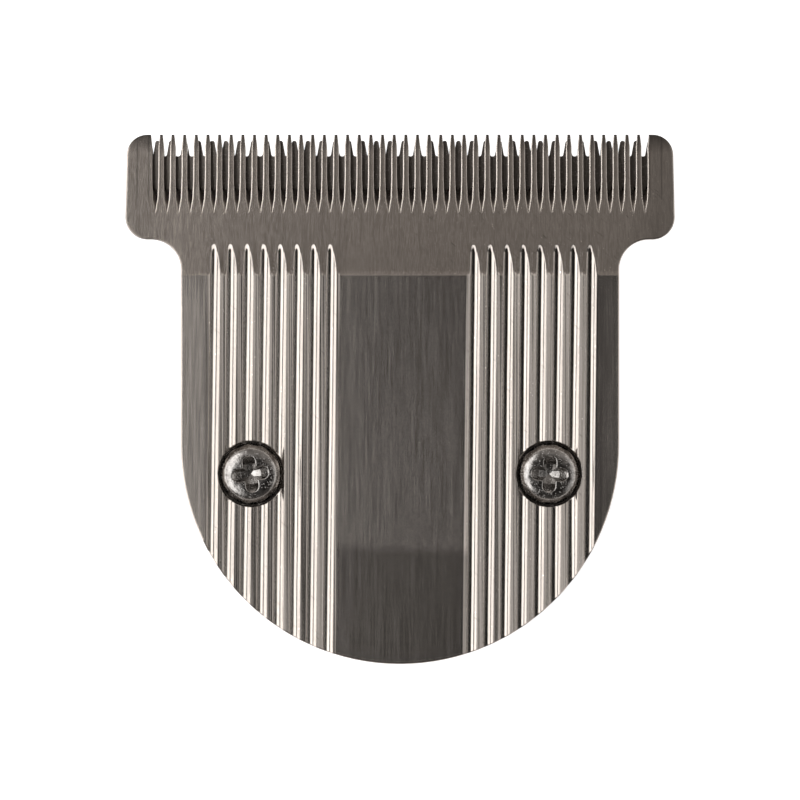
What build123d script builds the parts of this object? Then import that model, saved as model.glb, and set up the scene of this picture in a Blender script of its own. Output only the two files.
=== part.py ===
from build123d import *
import math
import os

# A T-shaped clipper blade: a grooved steel comb on a plastic seat, with a spring-loaded cutter behind it.
# X runs across the teeth, +Y points to their tips and +Z out of the grooved face. Z = 0 is the seat's back.
# All lengths are in millimetres and all angles in degrees.

# Comb blade: outline and section
overall_length = 38.6
head_width = 40.1
head_narrowing = 0.24
head_depth = 7.7
body_width = 31.9
head_front_radius = 1.5
head_rear_radius = 1.65
neck_radius = 2.2
comb_thickness = 1.4
bevel_length = 10.3
bevel_step = 0.03
bevel_ramp = 0.25
tip_thickness = 0.4
edge_break = 0.06

# Comb teeth: slots with steep flanks over a sharp point, which rise on a ramp and run out through the face
comb_pitch = 0.85
shoulder_width = 1.6
slot_length = 5.75
slot_depth = 1.28
slot_lean = 4.0
slot_point_width = 0.35
slot_point_height = 0.5
slot_ramp_angle = 35.0
slot_head_room = 0.25
tooth_tip_width = 0.2
tooth_point_length = 1.1

# Grooves: two groups of flutes beside a plain panel, ground a little off the blade's middle and line.
# Each has a steep left wall, a narrow floor, and a round right side that ends in a shallow shoulder.
panel_width = 9.5
groove_offset = 0.27
groove_skew = 0.6
groove_count = 8
groove_pitch = 1.21
groove_width = 0.7
groove_depth = 0.235
groove_wall_width = 0.05
groove_floor_width = 0.17
groove_shoulder_width = 0.24
groove_shoulder_depth = 0.035

# Screws that hold the comb to the seat
screw_edge_distance = 5.1
screw_setback = 2.1
screw_diameter = 2.5
screw_length = 5.0
screw_head_diameter = 4.5
screw_head_height = 1.5
screw_head_corner = 0.95
screw_corner_steps = 1
screw_crown_angle = 12.5
recess_width = 2.72
recess_wing = 1.0
recess_depth = 1.15
recess_wall_depth = 0.85
recess_floor_width = 1.5
counterbore_depth = 0.7
head_clearance = 0.15
hole_clearance = 0.15
thread_clearance = 0.02

# Cutter blade
cutter_rest_offset = 0.27
cutter_stroke = 2.5
cutter_side_margin = 0.2
cutter_pitch = 1.0
cutter_setback = 0.42
cutter_tooth_depth = 1.26
cutter_tooth_tip = 0.32
cutter_tooth_root = 0.68
cutter_tip_chamfer = 0.09
cutter_bar_depth = 5.4
cutter_stem_width = 19.0
cutter_stem_overhang = 1.0
cutter_corner = 0.45
cutter_thickness = 0.9
cutter_edge_thickness = 0.4
cutter_bevel_length = 4.2
cutter_hollow_depth = 0.12
cutter_front_land = 3.6
cutter_rear_land = 3.0

# Drive slider on the back of the cutter
slider_width = 14.8
slider_thickness = 0.85
slider_front_gap = 0.5
slider_corner = 1.0
slider_pad_height = 0.15
slider_pad_length = 2.4
lip_thickness = 1.4
lip_overlap = 1.2
fork_slot = 3.3
fork_prong = 1.9
fork_depth = 2.9
fork_floor_gap = 0.3
fork_lead_in = 0.35
peg_side = 2.0
peg_spacing = 10.4
peg_sink = 0.15

# Pressure spring and its pin
wire_diameter = 0.6
coil_radius = 1.35
wire_sides = 6
coil_turns = 3
coil_steps = 12
coil_gap = 0.05
coil_inner_x = 3.75
bail_length = 4.2
bail_corner = 0.7
leg_end_inset = 1.2
spring_axis_setback = 4.6
pin_diameter = 1.9

# Blade seat
seat_inset = 0.7
seat_wall = 1.3
seat_floor = 1.0
seat_chamfer = 0.4
rail_setback = 13.3
rail_thickness = 1.5
boss_diameter = 4.8
boss_rib = 1.2
cheek_thickness = 1.2
saddle_wall = 0.6
ledge_depth = 1.8
ledge_height = 1.0
window_margin = 0.3
heel_slot_width = 9.0
heel_slot_height = 1.5
heel_slot_sill = 0.8
detent_length = 5.0
detent_radius = 0.6
detent_height = 0.35
detent_z = 2.0
back_rim = 3.0
back_relief = 0.3
back_rib = 1.6

# Clearances
running_gap = 0.02
slide_gap = 0.1
spring_gap = 0.05
coil_floor_gap = 0.25
rail_wire_gap = 0.35
coil_side_gap = 0.35
pin_clearance = 0.02
peg_clearance = 0.02
pilot_tail = 0.4

# Modelling aids: how far a cutting form overshoots, how much of an edge two corner radii may take up, and the
# least upward share of a face's normal that makes it part of the comb's outer face
air = 1.0
corner_share = 0.95
upward = 0.5

# Lines along Y
tip_y = overall_length / 2
heel_y = -overall_length / 2
heel_center_y = heel_y + body_width / 2
head_rear_y = tip_y - head_depth
head_tip_width = head_width - head_narrowing
bevel_y = tip_y - bevel_length
bevel_ramp_y = bevel_y + bevel_ramp
bevel_slope = (comb_thickness - bevel_step - tip_thickness) / bevel_length
screw_x = body_width / 2 - screw_edge_distance
screw_y = heel_center_y - screw_setback
rail_front_y = tip_y - rail_setback
rail_rear_y = rail_front_y - rail_thickness
cutter_tip_y = tip_y - cutter_setback
cutter_bar_rear_y = cutter_tip_y - cutter_bar_depth
slider_front_y = cutter_bar_rear_y - slider_front_gap
slider_rear_y = rail_rear_y - slide_gap - lip_thickness
cutter_stem_rear_y = slider_rear_y - cutter_stem_overhang
peg_y = (rail_front_y + slider_front_y) / 2
spring_axis_y = rail_rear_y - spring_axis_setback
bail_y = spring_axis_y - bail_length
leg_tip_y = slider_front_y - leg_end_inset

# Heights, stacked from the seat's back to the comb's face
spring_axis_z = seat_floor + coil_floor_gap + wire_diameter / 2 + coil_radius
wire_z = spring_axis_z + coil_radius
slider_pad_z = wire_z + wire_diameter / 2 + spring_gap
slider_plate_z = slider_pad_z + slider_pad_height
slider_top_z = slider_plate_z + slider_thickness
cutter_top_z = slider_top_z + cutter_thickness
comb_rear_z = cutter_top_z + running_gap
comb_face_z = comb_rear_z + comb_thickness
screw_seat_z = comb_face_z - counterbore_depth
rail_top_z = wire_z - wire_diameter / 2 - rail_wire_gap


def comb_thickness_at(y):
    return comb_thickness - bevel_step - bevel_slope * (y - bevel_y)


def heel_ended_face(half_width, front_y):
    """The outline of the comb's body, with its round heel, at another width and cut off at front_y."""
    with BuildSketch() as outline:
        with BuildLine():
            Polyline(
                (half_width, heel_center_y),
                (half_width, front_y),
                (-half_width, front_y),
                (-half_width, heel_center_y),
            )
            ThreePointArc(
                (-half_width, heel_center_y),
                (0, heel_center_y - half_width),
                (half_width, heel_center_y),
            )
        make_face()
    return outline.sketch


def slot_floor_z(y):
    return comb_rear_z + comb_thickness_at(y) - slot_depth


# The slot form: through the tooth row at one depth below the bevel, then up and out of it on a ramp
slot_start_y = tip_y + air
slot_exit_y = tip_y - slot_length
slot_exit_z = slot_floor_z(slot_exit_y) + slot_depth
ramp_slope = math.tan(math.radians(slot_ramp_angle))
slot_ramp_y = slot_exit_y + slot_depth / (ramp_slope - bevel_slope)
slot_growth = 2 * math.tan(math.radians(slot_lean))
slot_face_width = slot_point_width + slot_growth * (slot_depth - slot_point_height)
slot_top_width = slot_face_width + slot_growth * slot_head_room
slot_rear_width = slot_face_width - slot_growth * tip_thickness
slot_count = int((head_tip_width - 2 * shoulder_width - slot_face_width) / comb_pitch) + 1
slot_section_plane = Plane(
    (0, slot_start_y, slot_floor_z(slot_start_y)), x_dir=(1, 0, 0), z_dir=(0, -1, bevel_slope)
)

with BuildPart() as slot_form:
    with BuildLine() as slot_path:
        Polyline(
            (0, slot_start_y, slot_floor_z(slot_start_y)),
            (0, slot_ramp_y, slot_floor_z(slot_ramp_y)),
            (0, slot_exit_y - air / ramp_slope, slot_exit_z + air),
        )
    with BuildSketch(slot_section_plane):
        with BuildLine():
            Polyline(
                (0, 0),
                (slot_point_width / 2, slot_point_height),
                (slot_top_width / 2, slot_depth + slot_head_room),
                (-slot_top_width / 2, slot_depth + slot_head_room),
                (-slot_point_width / 2, slot_point_height),
                close=True,
            )
        make_face()
    sweep(path=slot_path.line, transition=Transition.RIGHT)

# Comb blade: the plate that shows, bevelled to the tips
groove_front_y = bevel_y + (groove_depth - bevel_step) / bevel_slope + air
groove_span = groove_width + groove_shoulder_width
groove_floor_x = groove_wall_width + groove_floor_width
groove_edges = [panel_width / 2 + index * groove_pitch for index in range(groove_count)]
groove_edges += [-edge - groove_span for edge in groove_edges]
skew_along = math.cos(math.radians(groove_skew))
skew_aside = math.sin(math.radians(groove_skew))
groove_plane = Plane(
    (groove_offset + groove_front_y * skew_aside, groove_front_y, comb_face_z),
    x_dir=(skew_along, -skew_aside, 0),
    z_dir=(-skew_aside, -skew_along, 0),
)
shelf = (head_width - body_width) / 2
shelf_share = min(1.0, corner_share * shelf / (neck_radius + head_rear_radius))
neck_line_x = body_width / 2 + edge_break

with BuildSketch() as groove_form:
    with BuildLine():
        Polyline(
            (groove_width, -groove_shoulder_depth),
            (groove_span, 0),
            (groove_span, air),
            (0, air),
            (0, 0),
            (groove_wall_width, -groove_depth),
            (groove_floor_x, -groove_depth),
        )
        TangentArc((groove_floor_x, -groove_depth), (groove_width, -groove_shoulder_depth), tangent=(1, 0))
    make_face()

with BuildPart() as comb_blade:
    with BuildSketch(Plane.XY.offset(comb_rear_z)) as comb_outline:
        with BuildLine():
            Polyline(
                (body_width / 2, heel_center_y),
                (body_width / 2, head_rear_y),
                (head_width / 2, head_rear_y),
                (head_tip_width / 2, tip_y),
                (-head_tip_width / 2, tip_y),
                (-head_width / 2, head_rear_y),
                (-body_width / 2, head_rear_y),
                (-body_width / 2, heel_center_y),
            )
            ThreePointArc((-body_width / 2, heel_center_y), (0, heel_y), (body_width / 2, heel_center_y))
        make_face()
        fillet(comb_outline.vertices().group_by(Axis.Y)[-1], head_front_radius)
        shelf_corners = comb_outline.vertices().group_by(Axis.Y)[1].sort_by(Axis.X)
        fillet([shelf_corners[0], shelf_corners[-1]], head_rear_radius * shelf_share)
        rear_line = comb_outline.vertices().filter_by_position(Axis.Y, head_rear_y - edge_break, head_rear_y)
        neck_corners = rear_line.filter_by_position(Axis.X, -neck_line_x, neck_line_x)
        fillet(neck_corners, neck_radius * shelf_share)
    extrude(amount=comb_thickness)

    with BuildSketch(Plane.YZ) as comb_bevel:
        with BuildLine():
            Polyline(
                (bevel_y, comb_face_z),
                (bevel_ramp_y, comb_rear_z + comb_thickness_at(bevel_ramp_y)),
                (tip_y + air, comb_rear_z + comb_thickness_at(tip_y + air)),
                (tip_y + air, comb_face_z + air),
                (bevel_y, comb_face_z + air),
                close=True,
            )
        make_face()
    extrude(amount=head_width, both=True, mode=Mode.SUBTRACT)

    face_edges = comb_blade.faces().filter_by(lambda face: face.normal_at().Z > upward).edges()
    bevel_bends = face_edges.filter_by(Axis.X).filter_by_position(
        Axis.Y, bevel_y - edge_break, bevel_ramp_y + edge_break
    )
    chamfer([edge for edge in face_edges if edge not in bevel_bends], edge_break)

    with BuildSketch(groove_plane):
        with Locations(*[(edge, 0) for edge in groove_edges]):
            add(groove_form.sketch)
    extrude(amount=groove_front_y - heel_y + air, mode=Mode.SUBTRACT)

    with Locations((0, screw_y, comb_face_z)):
        with GridLocations(2 * screw_x, 0, 2, 1):
            CounterBoreHole(
                radius=screw_diameter / 2 + hole_clearance,
                counter_bore_radius=screw_head_diameter / 2 + head_clearance,
                counter_bore_depth=counterbore_depth,
            )

    with GridLocations(comb_pitch, 0, slot_count, 1):
        add(slot_form.part, mode=Mode.SUBTRACT)

    with BuildSketch(Plane.XY.offset(comb_rear_z)) as tooth_points:
        mouth_width = comb_pitch - tooth_tip_width
        with Locations((0, tip_y)):
            with GridLocations(comb_pitch, 0, slot_count, 1):
                Polygon(
                    (-slot_rear_width / 2, -tooth_point_length),
                    (slot_rear_width / 2, -tooth_point_length),
                    (mouth_width / 2, 0),
                    (mouth_width / 2, air),
                    (-mouth_width / 2, air),
                    (-mouth_width / 2, 0),
                    align=None,
                )
    extrude(amount=comb_thickness, mode=Mode.SUBTRACT)

# Cutter blade: a T-shaped steel plate, relieved behind its edge and hollow between two lands
cutter_width = head_tip_width - cutter_stroke - 2 * cutter_side_margin
cutter_tooth_count = int((cutter_width - cutter_tooth_root) / cutter_pitch) + 1
gullet_count = cutter_tooth_count + 1
gullet_mouth = cutter_pitch - cutter_tooth_tip
gullet_floor = cutter_pitch - cutter_tooth_root
peg_hole_side = peg_side + 2 * peg_clearance

with BuildPart() as cutter_blade:
    with BuildSketch(Plane((cutter_rest_offset, 0, slider_top_z))) as cutter_outline:
        with BuildLine():
            Polyline(
                (-cutter_width / 2, cutter_tip_y),
                (-cutter_width / 2, cutter_bar_rear_y + cutter_corner),
                (-cutter_width / 2 + cutter_corner, cutter_bar_rear_y),
                (-cutter_stem_width / 2, cutter_bar_rear_y),
                (-cutter_stem_width / 2, cutter_stem_rear_y),
                (cutter_stem_width / 2, cutter_stem_rear_y),
                (cutter_stem_width / 2, cutter_bar_rear_y),
                (cutter_width / 2 - cutter_corner, cutter_bar_rear_y),
                (cutter_width / 2, cutter_bar_rear_y + cutter_corner),
                (cutter_width / 2, cutter_tip_y),
                close=True,
            )
        make_face()
        fillet(cutter_outline.vertices().group_by(Axis.Y)[0], cutter_corner)
        with BuildSketch(mode=Mode.PRIVATE) as gullet:
            Polygon(
                (-gullet_floor / 2, -cutter_tooth_depth),
                (gullet_floor / 2, -cutter_tooth_depth),
                (gullet_mouth / 2, -cutter_tip_chamfer),
                (gullet_mouth / 2 + cutter_tip_chamfer, 0),
                (gullet_mouth / 2, air),
                (-gullet_mouth / 2, air),
                (-gullet_mouth / 2 - cutter_tip_chamfer, 0),
                (-gullet_mouth / 2, -cutter_tip_chamfer),
                align=None,
            )
        with Locations((0, cutter_tip_y)):
            with GridLocations(cutter_pitch, 0, gullet_count, 1):
                add(gullet.sketch, mode=Mode.SUBTRACT)
    extrude(amount=cutter_thickness)

    with BuildSketch(Plane.YZ) as cutter_relief:
        with BuildLine():
            relief_rise = (cutter_thickness - cutter_edge_thickness) / cutter_bevel_length
            Polyline(
                (cutter_tip_y - cutter_bevel_length, slider_top_z),
                (cutter_tip_y + air, slider_top_z + relief_rise * (cutter_bevel_length + air)),
                (cutter_tip_y + air, slider_top_z - air),
                (cutter_tip_y - cutter_bevel_length, slider_top_z - air),
                close=True,
            )
        make_face()
    extrude(amount=head_width, both=True, mode=Mode.SUBTRACT)

    hollow_front_y = cutter_tip_y - cutter_front_land
    hollow_rear_y = cutter_stem_rear_y + cutter_rear_land
    with BuildSketch(Plane((0, (hollow_front_y + hollow_rear_y) / 2, cutter_top_z))):
        Rectangle(2 * head_width, hollow_front_y - hollow_rear_y)
    extrude(amount=-cutter_hollow_depth, mode=Mode.SUBTRACT)

    with BuildSketch(Plane((cutter_rest_offset, peg_y, cutter_top_z))):
        with GridLocations(peg_spacing, 0, 2, 1):
            Rectangle(peg_hole_side, peg_hole_side)
    extrude(amount=-cutter_thickness, mode=Mode.SUBTRACT)

# Drive slider: a plastic follower, two square pegs in the cutter, a channel over the rail and a drive fork
lip_bottom_z = rail_top_z - lip_overlap
fork_width = fork_slot + 2 * fork_prong
fork_rear_y = rail_front_y + slide_gap
fork_front_y = fork_rear_y + fork_depth

with BuildPart() as drive_slider:
    with BuildSketch(Plane((cutter_rest_offset, 0, slider_plate_z))):
        with Locations((0, (slider_front_y + slider_rear_y) / 2)):
            RectangleRounded(slider_width, slider_front_y - slider_rear_y, slider_corner)
    extrude(amount=slider_thickness)

    with BuildSketch(Plane((cutter_rest_offset, 0, slider_pad_z))):
        with Locations((0, slider_front_y - slider_pad_length / 2)):
            Rectangle(slider_width - 2 * slider_corner, slider_pad_length)
    extrude(amount=slider_pad_height)

    with BuildSketch(Plane((cutter_rest_offset, 0, slider_plate_z))):
        with Locations((0, slider_rear_y + lip_thickness / 2)):
            Rectangle(fork_width, lip_thickness)
    extrude(amount=lip_bottom_z - slider_plate_z)

    with BuildSketch(Plane((cutter_rest_offset, 0, slider_plate_z))):
        with Locations((0, (fork_rear_y + fork_front_y) / 2)):
            Rectangle(fork_width, fork_depth)
            Rectangle(fork_slot, fork_depth, mode=Mode.SUBTRACT)
    extrude(amount=fork_floor_gap - slider_plate_z)
    prong_ends = drive_slider.faces().group_by(Axis.Z)[0].edges().filter_by(Axis.Y)
    chamfer(prong_ends, fork_lead_in)

    with BuildSketch(Plane((cutter_rest_offset, peg_y, slider_top_z))):
        with GridLocations(peg_spacing, 0, 2, 1):
            Rectangle(peg_side, peg_side)
    extrude(amount=cutter_thickness - cutter_hollow_depth - peg_sink)

# Pressure spring: one wire, two coils on the pin, a bail under the seat's ledge, two legs under the slider.
# Its bends are short straight runs and its section has few sides, which keeps the many turns light.
coil_pitch = wire_diameter + coil_gap
leg_x = coil_inner_x + coil_turns * coil_pitch
wire_radius = wire_diameter / 2
coil_step_angle = math.radians(360 / coil_steps)
coil_points = [
    (
        coil_inner_x + coil_pitch * step / coil_steps,
        spring_axis_y + coil_radius * math.sin(step * coil_step_angle),
        spring_axis_z + coil_radius * math.cos(step * coil_step_angle),
    )
    for step in range(coil_turns * coil_steps + 1)
]

with BuildPart() as pressure_spring:
    with BuildLine() as wire_path:
        Polyline(
            (0, bail_y, wire_z),
            (coil_inner_x - bail_corner, bail_y, wire_z),
            (coil_inner_x, bail_y + bail_corner, wire_z),
            *coil_points,
            (leg_x, leg_tip_y, wire_z),
        )
    with BuildSketch(Plane.YZ):
        with Locations((bail_y, wire_z)):
            RegularPolygon(wire_radius, wire_sides)
    sweep(path=wire_path.line, transition=Transition.RIGHT)
    mirror(about=Plane.YZ)

# Spring pin: a plain steel pin through both coils
cheek_inner_x = leg_x + wire_radius + coil_side_gap
cheek_outer_x = cheek_inner_x + cheek_thickness

with BuildPart() as spring_pin:
    with BuildSketch(Plane.YZ.offset(-cheek_outer_x)):
        with Locations((spring_axis_y, spring_axis_z)):
            Circle(pin_diameter / 2)
    extrude(amount=2 * cheek_outer_x)

# Blade seat: a moulded tray under the comb, with the screw bosses, the guide rail and the spring's saddles
seat_half_width = body_width / 2 - seat_inset
pocket_half_width = seat_half_width - seat_wall
cheek_top_z = spring_axis_z + pin_diameter / 2 + saddle_wall
ledge_bottom_z = wire_z + wire_radius + spring_gap
ledge_rear_y = bail_y - ledge_depth / 2
window_length = 2 * coil_radius + wire_diameter + 2 * window_margin
window_inner_x = coil_inner_x - wire_radius - window_margin
pilot_depth = comb_rear_z - (screw_seat_z - screw_length) + pilot_tail
heel_slot_z = seat_floor + heel_slot_sill + heel_slot_height / 2

with BuildPart() as blade_seat:
    with BuildSketch() as seat_outline:
        add(heel_ended_face(seat_half_width, rail_front_y))
    extrude(amount=comb_rear_z)
    chamfer(blade_seat.edges().group_by(Axis.Z)[0], seat_chamfer)

    with BuildSketch(Plane.XY.offset(seat_floor)) as seat_pocket:
        add(heel_ended_face(pocket_half_width, rail_rear_y))
    extrude(amount=comb_rear_z, mode=Mode.SUBTRACT)

    with BuildSketch(Plane.XY.offset(rail_top_z)):
        with Locations((0, rail_rear_y - slide_gap)):
            passage_length = rail_thickness + slide_gap + air
            Rectangle(2 * pocket_half_width, passage_length, align=(Align.CENTER, Align.MIN))
    extrude(amount=comb_rear_z, mode=Mode.SUBTRACT)

    with BuildSketch(Plane.XY.offset(seat_floor)) as seat_bosses:
        with Locations((0, screw_y)):
            with GridLocations(2 * screw_x, 0, 2, 1):
                Circle(boss_diameter / 2)
        for side in (-1, 1):
            with Locations((side * (screw_x + pocket_half_width) / 2, screw_y)):
                Rectangle(pocket_half_width - screw_x, boss_rib)
    extrude(amount=comb_rear_z - seat_floor)

    with BuildSketch(Plane.XY.offset(seat_floor)) as seat_cheeks:
        for side in (-1, 1):
            with Locations((side * (cheek_inner_x + cheek_outer_x) / 2, (ledge_rear_y + rail_rear_y) / 2)):
                Rectangle(cheek_thickness, rail_rear_y - ledge_rear_y)
    extrude(amount=cheek_top_z - seat_floor)

    with BuildSketch(Plane.XY.offset(seat_floor)) as ledge_posts:
        for side in (-1, 1):
            with Locations((side * (cheek_inner_x + cheek_outer_x) / 2, bail_y)):
                Rectangle(cheek_thickness, ledge_depth)
    extrude(amount=ledge_bottom_z + ledge_height - seat_floor)

    with BuildSketch(Plane.XY.offset(ledge_bottom_z)) as spring_ledge:
        with Locations((0, bail_y)):
            Rectangle(2 * cheek_outer_x, ledge_depth)
    extrude(amount=ledge_height)

    with BuildSketch(Plane.YZ) as pin_saddle:
        saddle_width = pin_diameter + 2 * pin_clearance
        with Locations((spring_axis_y, spring_axis_z)):
            Circle(saddle_width / 2)
            Rectangle(saddle_width, cheek_top_z - spring_axis_z + air, align=(Align.CENTER, Align.MIN))
    extrude(amount=cheek_outer_x, both=True, mode=Mode.SUBTRACT)

    with BuildSketch() as back_panel:
        add(heel_ended_face(seat_half_width - back_rim, rail_front_y - back_rim))
        Rectangle(back_rib, overall_length, mode=Mode.SUBTRACT)
    extrude(amount=back_relief, mode=Mode.SUBTRACT)

    with BuildSketch() as floor_windows:
        for side in (-1, 1):
            with Locations((side * (window_inner_x + cheek_inner_x) / 2, spring_axis_y)):
                Rectangle(cheek_inner_x - window_inner_x, window_length)
    extrude(amount=seat_floor, mode=Mode.SUBTRACT)

    with Locations((0, screw_y, comb_rear_z)):
        with GridLocations(2 * screw_x, 0, 2, 1):
            Hole(screw_diameter / 2 + thread_clearance, depth=pilot_depth)

    with BuildSketch(Plane.XZ.offset(-ledge_rear_y)) as heel_slot:
        with Locations((0, heel_slot_z)):
            Rectangle(heel_slot_width, heel_slot_height)
    extrude(amount=ledge_rear_y - heel_y, mode=Mode.SUBTRACT)

    with BuildSketch(Plane.XZ.offset(-(heel_center_y + detent_length))) as detents:
        for side in (-1, 1):
            with Locations((side * (seat_half_width + detent_height - detent_radius), detent_z)):
                Circle(detent_radius)
    extrude(amount=detent_length)

# Seat screws: cross-recess pan heads on plain shanks, with the head's round corner in short steps
head_radius = screw_head_diameter / 2
head_top_z = screw_seat_z + screw_head_height
corner_sweep = math.radians(90 - screw_crown_angle)
corner_center_x = head_radius - screw_head_corner
crown_join_x = corner_center_x + screw_head_corner * math.cos(corner_sweep)
crown_rise = crown_join_x * math.tan(math.radians(screw_crown_angle / 2))
corner_center_z = head_top_z - crown_rise - screw_head_corner * math.sin(corner_sweep)
corner_angles = [corner_sweep * step / screw_corner_steps for step in range(screw_corner_steps + 1)]
corner_points = [
    (
        corner_center_x + screw_head_corner * math.cos(angle),
        corner_center_z + screw_head_corner * math.sin(angle),
    )
    for angle in corner_angles
]

with BuildPart() as recess_form:
    with BuildSketch(Plane.XZ) as recess_section:
        with BuildLine():
            recess_flare = (recess_width - recess_floor_width) / 2 / recess_wall_depth
            mouth_half = recess_width / 2 + recess_flare * recess_depth
            Polyline(
                (0, head_top_z - recess_depth),
                (recess_floor_width / 2, head_top_z - recess_wall_depth),
                (mouth_half, head_top_z + recess_depth),
                (-mouth_half, head_top_z + recess_depth),
                (-recess_floor_width / 2, head_top_z - recess_wall_depth),
                close=True,
            )
        make_face()
    extrude(amount=recess_wing / 2, both=True)
    add(recess_form.part, rotation=(0, 0, 90))

with BuildPart() as seat_screw:
    with BuildSketch(Plane.XZ) as screw_profile:
        with BuildLine():
            Polyline(
                (0, head_top_z),
                (0, screw_seat_z - screw_length),
                (screw_diameter / 2, screw_seat_z - screw_length),
                (screw_diameter / 2, screw_seat_z),
                (head_radius, screw_seat_z),
                *corner_points,
                close=True,
            )
        make_face()
    revolve(axis=Axis.Z)
    add(recess_form.part, mode=Mode.SUBTRACT)

with BuildPart() as seat_screws:
    with Locations((0, screw_y)):
        with GridLocations(2 * screw_x, 0, 2, 1):
            add(seat_screw.part)

os.makedirs("parts", exist_ok=True)
comb_blade.part.label = "comb_blade"
cutter_blade.part.label = "cutter_blade"
drive_slider.part.label = "drive_slider"
pressure_spring.part.label = "pressure_spring"
spring_pin.part.label = "spring_pin"
blade_seat.part.label = "blade_seat"
seat_screws.part.label = "seat_screws"
export_step(comb_blade.part, "parts/comb_blade.step")
export_step(cutter_blade.part, "parts/cutter_blade.step")
export_step(drive_slider.part, "parts/drive_slider.step")
export_step(pressure_spring.part, "parts/pressure_spring.step")
export_step(spring_pin.part, "parts/spring_pin.step")
export_step(blade_seat.part, "parts/blade_seat.step")
export_step(seat_screws.part, "parts/seat_screws.step")
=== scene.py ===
import math

import bmesh
import bpy
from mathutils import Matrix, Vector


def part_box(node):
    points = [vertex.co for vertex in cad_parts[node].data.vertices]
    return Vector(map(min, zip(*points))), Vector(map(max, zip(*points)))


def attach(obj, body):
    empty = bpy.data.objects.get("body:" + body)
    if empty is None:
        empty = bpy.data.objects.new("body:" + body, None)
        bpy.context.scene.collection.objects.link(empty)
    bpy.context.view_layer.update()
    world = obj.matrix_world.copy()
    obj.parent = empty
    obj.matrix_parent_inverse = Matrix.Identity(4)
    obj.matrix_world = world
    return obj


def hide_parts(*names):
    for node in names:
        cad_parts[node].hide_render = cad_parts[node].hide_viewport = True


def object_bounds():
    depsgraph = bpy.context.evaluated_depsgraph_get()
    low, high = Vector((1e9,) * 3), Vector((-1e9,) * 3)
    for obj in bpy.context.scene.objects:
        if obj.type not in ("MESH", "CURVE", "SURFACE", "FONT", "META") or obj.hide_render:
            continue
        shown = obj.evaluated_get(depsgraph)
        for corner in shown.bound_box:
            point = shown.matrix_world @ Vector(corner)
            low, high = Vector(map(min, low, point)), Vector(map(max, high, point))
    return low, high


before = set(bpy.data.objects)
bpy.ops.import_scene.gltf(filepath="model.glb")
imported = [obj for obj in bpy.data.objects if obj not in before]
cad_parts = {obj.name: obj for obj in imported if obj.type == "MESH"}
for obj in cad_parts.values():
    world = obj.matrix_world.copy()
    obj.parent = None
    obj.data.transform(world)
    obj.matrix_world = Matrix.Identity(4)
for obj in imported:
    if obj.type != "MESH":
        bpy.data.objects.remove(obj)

cad_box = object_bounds()

# Blade seat: the carrier behind the comb, with screw bosses, the spring's cradle and a clip slot at the heel.
# Black glass-filled nylon, moulded in one shot, with the fine matt grain of an eroded mould.
mm = 0.001
noise_low, noise_high = 0.3, 0.7
seat_black = (0.030, 0.030, 0.032, 1)
seat_grey = (0.048, 0.047, 0.048, 1)
seat_roughness = (0.42, 0.6)
mould_grain_size = 0.11 * mm
mould_grain_depth = 0.01 * mm
mould_grain_strength = 0.35
flow_mark_size = (6 * mm, 2 * mm, 6 * mm)


def start_finish(name, metallic, roughness):
    """A new material and its shader node, ready for the piece's own nodes."""
    finish = bpy.data.materials.new(name)
    finish.use_nodes = True
    shader = finish.node_tree.nodes["Principled BSDF"]
    shader.inputs["Metallic"].default_value = metallic
    shader.inputs["Roughness"].default_value = roughness
    return finish, shader


def put(tree, kind, inputs=None, **settings):
    """Add a node, with its settings, and its inputs given as values or as sockets to link."""
    node = tree.nodes.new(kind)
    for name, value in settings.items():
        setattr(node, name, value)
    for key, value in (inputs or {}).items():
        if isinstance(value, bpy.types.NodeSocket):
            tree.links.new(value, node.inputs[key])
        else:
            node.inputs[key].default_value = value
    return node.outputs[0]


def feed(tree, shader, values):
    """Link values to the shader's inputs, by their names."""
    for name, value in values.items():
        tree.links.new(value, shader.inputs[name])


def place_on_piece(tree):
    """The piece's own coordinates, in metres."""
    return tree.nodes.new("ShaderNodeTexCoord").outputs["Object"]


def grain(tree, size, detail=2.0, offset=0.0):
    """Noise whose grains are size across, one length for all ways or one for each axis."""
    sizes = size if isinstance(size, tuple) else (size, size, size)
    spread = put(tree, "ShaderNodeMapping", {
        "Vector": place_on_piece(tree),
        "Location": (offset, offset, offset),
        "Scale": tuple(1 / length for length in sizes),
    })
    return put(tree, "ShaderNodeTexNoise", {"Vector": spread, "Scale": 1.0, "Detail": detail})


def between(tree, value, low, high, to_low, to_high):
    """Map a value from one range to another, held at its ends."""
    return put(tree, "ShaderNodeMapRange", {
        "Value": value, "From Min": low, "From Max": high, "To Min": to_low, "To Max": to_high,
    })


def grain_to(tree, noise, to_low, to_high):
    """Map the usual values of a noise to a range."""
    return between(tree, noise, noise_low, noise_high, to_low, to_high)


def two_tone(tree, value, dark, light):
    """A colour that goes from dark to light with the value."""
    mix = tree.nodes.new("ShaderNodeMix")
    mix.data_type = "RGBA"
    colours = [socket for socket in mix.inputs if socket.type == "RGBA"]
    for socket, colour in zip(colours, (dark, light)):
        if isinstance(colour, bpy.types.NodeSocket):
            tree.links.new(colour, socket)
        else:
            socket.default_value = colour
    tree.links.new(value, mix.inputs[0])
    return next(socket for socket in mix.outputs if socket.type == "RGBA")


def relief(tree, shader, height, depth, strength, normal=None):
    """Feed a fine surface relief, on a normal of its own if there is one, into the shader's normal."""
    inputs = {"Height": height, "Distance": depth, "Strength": strength}
    if normal:
        inputs["Normal"] = normal
    feed(tree, shader, {"Normal": put(tree, "ShaderNodeBump", inputs)})


def coat(mesh, finish):
    """Give a mesh one finish, in place of what it has."""
    mesh.materials.clear()
    mesh.materials.append(finish)


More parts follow.
